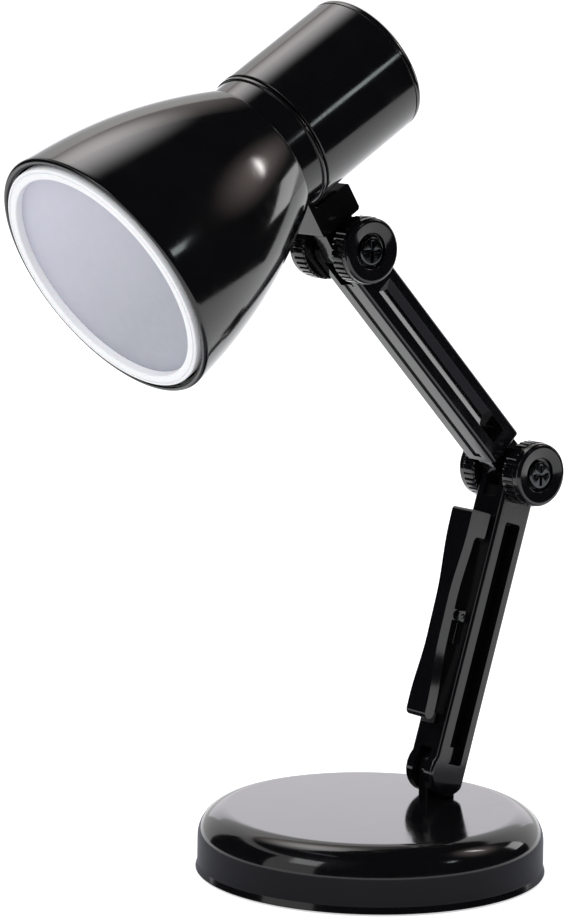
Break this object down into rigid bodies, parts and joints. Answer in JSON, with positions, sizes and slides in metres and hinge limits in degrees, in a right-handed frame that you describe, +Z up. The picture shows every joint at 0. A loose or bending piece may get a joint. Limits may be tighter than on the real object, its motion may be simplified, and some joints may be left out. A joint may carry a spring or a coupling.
{
  "type": "folding battery desk lamp",
  "caption": "Small battery desk lamp with a round weighted base, a folding arm with knurled knobs and a spring clip, and a bell-shaped tilting head with a twist cap at its rear.",
  "frame": {"origin": "centre of the round base's underside, on the surface that the lamp stands on", "axes": "+Z up, the head looks towards -Y and downwards, every fold of the arm turns about an axis along X"},
  "size_m": [0.0606, 0.1059, 0.1497],
  "materials": {
    "gloss_black": "glossy injection-moulded black plastic",
    "satin_black": "slightly softer gloss on the moulded arm sections",
    "knob_black": "glossy black, fine moulded knurling",
    "rubber_pad": "matt foam rubber",
    "bezel_white": "bright white satin plastic",
    "diffuser_frost": "frosted translucent plastic, unlit",
    "inner_white": "matt white moulded plastic",
    "steel": "bright nickel-plated steel",
    "weight_iron": "rough cast disc",
    "board_green": "glass-fibre circuit board",
    "chip_yellow": "phosphor over a white chip package",
    "contact_brass": "stamped spring brass"
  },
  "bodies": {
    "base": {"base_cover": "gloss_black", "base_weight": "weight_iron", "base_plate": "satin_black", "base_screws": "steel", "base_pad": "rubber_pad"},
    "lower_arm": {"lower_arm": "satin_black", "base_hinge_pin": "steel", "base_washers": "steel", "elbow_far_knob": "knob_black", "elbow_nut": "steel", "clip_pin": "steel", "clip_spring": "steel"},
    "clip": {"clip_leaf": "satin_black", "clip_pad": "rubber_pad"},
    "upper_arm": {"upper_arm": "satin_black", "neck_far_knob": "knob_black", "neck_nut": "steel"},
    "elbow_knob": {"elbow_knob": "knob_black", "elbow_screw": "steel"},
    "neck_knob": {"neck_knob": "knob_black", "neck_screw": "steel"},
    "head": {"head_collar": "gloss_black", "shade": "gloss_black", "reflector": "inner_white", "bezel_ring": "bezel_white", "diffuser": "diffuser_frost", "led_board": "board_green", "led_chips": "chip_yellow", "battery_holder": "inner_white", "front_contact": "contact_brass", "button_cells": "steel"},
    "battery_cap": {"battery_cap": "gloss_black", "cap_contact": "contact_brass", "cell_spring": "steel"}
  },
  "joints": [
    {"name": "base_fold", "type": "hinge", "parent": "base", "child": "lower_arm", "pos_m": [0, 0.0149, 0.0157], "axis": [1, 0, 0], "range_deg": [-45, 55]},
    {"name": "elbow_fold", "type": "hinge", "parent": "lower_arm", "child": "upper_arm", "pos_m": [0, 0.03084, 0.0675], "axis": [1, 0, 0], "range_deg": [-100, 20]},
    {"name": "neck_tilt", "type": "hinge", "parent": "upper_arm", "child": "head", "pos_m": [0, -0.00812, 0.10856], "axis": [1, 0, 0], "range_deg": [-80, 50]},
    {"name": "clip_squeeze", "type": "hinge", "parent": "lower_arm", "child": "clip", "pos_m": [0, 0.01811, 0.04296], "axis": [-1, 0, 0], "range_deg": [0, 2.8], "stiffness_Nm_per_rad": 0.5},
    {"name": "cap_twist", "type": "hinge", "parent": "head", "child": "battery_cap", "pos_m": [0, -0.02075, 0.12885], "axis": [0, 0.849, 0.5284], "range_deg": [0, 90]},
    {"name": "elbow_knob_turn", "type": "hinge", "parent": "lower_arm", "child": "elbow_knob", "pos_m": [0, 0.03084, 0.0675], "axis": [1, 0, 0], "range_deg": [-90, 180]},
    {"name": "neck_knob_turn", "type": "hinge", "parent": "upper_arm", "child": "neck_knob", "pos_m": [0, -0.00812, 0.10856], "axis": [1, 0, 0], "range_deg": [-90, 180]}
  ]
}
